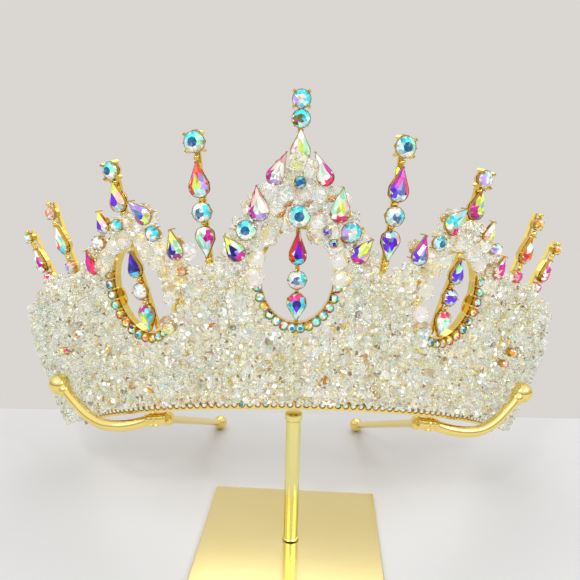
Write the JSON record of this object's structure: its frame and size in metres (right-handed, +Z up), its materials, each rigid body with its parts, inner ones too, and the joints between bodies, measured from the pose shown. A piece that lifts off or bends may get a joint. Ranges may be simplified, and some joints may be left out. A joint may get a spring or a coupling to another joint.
{
  "type": "crystal tiara on display stand",
  "caption": "Tall beaded crystal tiara with oval windows, hanging strings of cut stones and ball-tipped side arms, held on a plain square post stand.",
  "frame": {"origin": "centre of the stand plate's underside, on the table", "axes": "+X along the tiara's width to the viewer's right, +Y from the front to the back, +Z up"},
  "size_m": [0.2052, 0.1209, 0.1467],
  "materials": {
    "gold": "polished yellow gold plating",
    "post_gold": "polished yellow gold plating",
    "pale_gold": "polished pale gold plating",
    "crystal": "faceted clear crystal beads",
    "stone_aqua": "cut glass with a rainbow coat",
    "stone_mint": "cut glass with a rainbow coat",
    "stone_rose": "cut glass with a rainbow coat",
    "stone_violet": "cut glass with a rainbow coat",
    "stone_clear": "cut glass with a rainbow coat",
    "stone_fire": "cut glass with a rainbow coat"
  },
  "bodies": {
    "root": {"tiara_frame": "gold", "arm_left": "gold", "arm_right": "gold", "crystal_field_left": "crystal", "crystal_field_right": "crystal", "stand_plate": "pale_gold", "stand_post": "post_gold", "stone_top": "stone_aqua", "stone_second": "stone_aqua", "stone_crown_pear": "stone_mint", "stone_blue": "stone_aqua", "stone_middle": "stone_aqua", "stone_string_pear": "stone_rose", "stone_string_round": "stone_aqua", "stone_string_drop": "stone_violet", "stone_crest_pear_left": "stone_rose", "stone_crest_pear_right": "stone_rose", "stone_arch_pear_left": "stone_rose", "stone_arch_pear_right": "stone_rose", "stone_arch_round_left": "stone_aqua", "stone_arch_round_right": "stone_aqua", "stone_outer_pear_left": "stone_violet", "stone_outer_pear_right": "stone_violet", "stone_tall_top_left": "stone_aqua", "stone_tall_top_right": "stone_aqua", "stone_tall_pear_left": "stone_rose", "stone_tall_pear_right": "stone_rose", "stone_tall_round_left": "stone_aqua", "stone_tall_round_right": "stone_aqua", "stone_tall_drop_left": "stone_violet", "stone_tall_drop_right": "stone_violet", "stone_edge_pear_left": "stone_violet", "stone_edge_pear_right": "stone_violet", "stone_peak_top_left": "stone_aqua", "stone_peak_top_right": "stone_aqua", "stone_peak_pear_left": "stone_violet", "stone_peak_pear_right": "stone_violet", "stone_peak_side_left": "stone_mint", "stone_peak_side_right": "stone_mint", "stone_side_pear_left": "stone_violet", "stone_side_pear_right": "stone_violet", "stone_side_round_left": "stone_clear", "stone_side_round_right": "stone_clear", "stone_side_drop_left": "stone_mint", "stone_side_drop_right": "stone_mint", "stone_tine_pear_left": "stone_fire", "stone_tine_pear_right": "stone_fire", "stone_end_pear_left": "stone_rose", "stone_end_pear_right": "stone_rose"}
  },
  "joints": []
}
